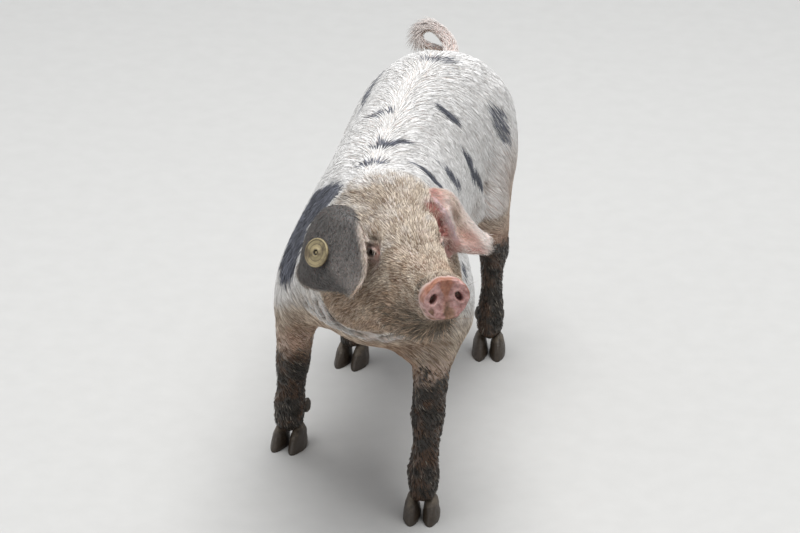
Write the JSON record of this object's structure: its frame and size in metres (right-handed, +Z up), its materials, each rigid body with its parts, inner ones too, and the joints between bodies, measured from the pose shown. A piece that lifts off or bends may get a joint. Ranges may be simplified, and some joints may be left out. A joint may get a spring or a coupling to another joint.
{
  "type": "young pig model",
  "caption": "Life-size standing model of a young lop-eared spotted pig, head raised and turned to its left, with a round tag in its right ear.",
  "frame": {"origin": "on the floor under the middle of the bounding box", "axes": "+Z up; the body lies along Y and faces -Y; +X is the pig's left side"},
  "size_m": [0.2614, 0.662, 0.3869],
  "materials": {
    "white_coat": "pale skin under short white and black bristles, matt",
    "pink_skin": "bare pink skin, slightly moist on the snout",
    "grey_skin": "thin grey skin with sparse fine hair, matt",
    "muddy_coat": "bristles matted with damp dark mud",
    "horn": "worn claw horn with dried mud",
    "eye": "wet, glossy, dark brown",
    "tag": "dirty yellow plastic, slightly scuffed"
  },
  "bodies": {
    "root": {"head": "white_coat", "lower_jaw": "white_coat", "snout": "pink_skin", "eye_right": "eye", "eye_left": "eye", "ear_right": "grey_skin", "ear_left": "pink_skin", "ear_tag_button": "tag", "ear_tag_stud": "tag", "neck": "white_coat", "chest": "white_coat", "belly": "white_coat", "rump": "white_coat", "tail": "pink_skin", "claw_fore_left_inner": "horn", "claw_fore_left_outer": "horn", "claw_fore_right_inner": "horn", "claw_fore_right_outer": "horn", "claw_hind_left_inner": "horn", "claw_hind_left_outer": "horn", "claw_hind_right_inner": "horn", "claw_hind_right_outer": "horn", "dewclaw_fore_left_inner": "horn", "dewclaw_fore_left_outer": "horn", "dewclaw_fore_right_inner": "horn", "dewclaw_fore_right_outer": "horn", "dewclaw_hind_left_inner": "horn", "dewclaw_hind_left_outer": "horn", "dewclaw_hind_right_inner": "horn", "dewclaw_hind_right_outer": "horn", "fore_left_lower": "muddy_coat", "fore_left_upper": "white_coat", "fore_right_lower": "muddy_coat", "fore_right_upper": "white_coat", "hind_left_lower": "muddy_coat", "hind_left_upper": "white_coat", "hind_right_lower": "muddy_coat", "hind_right_upper": "white_coat"}
  },
  "joints": []
}
